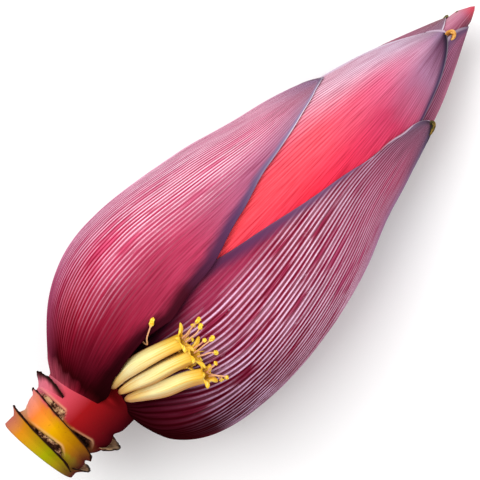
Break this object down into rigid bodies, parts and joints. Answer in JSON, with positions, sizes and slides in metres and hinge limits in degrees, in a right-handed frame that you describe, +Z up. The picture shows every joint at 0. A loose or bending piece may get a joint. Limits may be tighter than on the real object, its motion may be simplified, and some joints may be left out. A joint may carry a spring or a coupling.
{
  "type": "banana blossom",
  "caption": "Cut banana blossom lying on its side: a short stem, leathery red bracts wrapped round a pointed bud, and yellow florets under one bract's edge.",
  "frame": {"origin": "centre of the bounding box in plan, on the surface the blossom lies on", "axes": "+X along the blossom from the cut stem to the tip, +Z up, +Y to the side of the outer left bract"},
  "size_m": [0.2608, 0.1058, 0.1095],
  "materials": {
    "peduncle_skin": "smooth fresh stem, pink to yellow-green and dark red, satin",
    "torn_bract_base": "torn bract base with a dried dark rim",
    "outer_bract": "waxy purple-red bract with fine pale ribs, satin",
    "middle_bract": "waxy bright red bract with fine ribs, satin",
    "inner_bract": "slate-purple bract, satin",
    "young_bud": "smooth pink-red young bud, satin",
    "floret": "fleshy cream-yellow floret, satin",
    "thread": "fine pale stalk with a yellow head"
  },
  "bodies": {
    "root": {"peduncle": "peduncle_skin", "bract_left_outer": "outer_bract", "bract_right_outer": "outer_bract", "bract_back": "outer_bract", "bract_middle": "middle_bract", "bract_right_inner": "inner_bract", "bract_left_inner": "inner_bract", "bud_heart": "young_bud", "bract_stub_1": "torn_bract_base", "bract_stub_2": "torn_bract_base", "bract_stub_3": "torn_bract_base", "bract_stub_4": "torn_bract_base", "bract_stub_5": "torn_bract_base", "floret_1": "floret", "floret_2": "floret", "floret_3": "floret", "floret_4": "floret", "floret_5": "floret", "floret_6": "floret", "style_1": "thread", "stamen_1a": "thread", "stamen_1b": "thread", "style_2": "thread", "stamen_2a": "thread", "stamen_2b": "thread", "style_3": "thread", "stamen_3a": "thread", "stamen_3b": "thread", "stamen_4": "thread", "stamen_5": "thread", "style_6": "thread"}
  },
  "joints": []
}
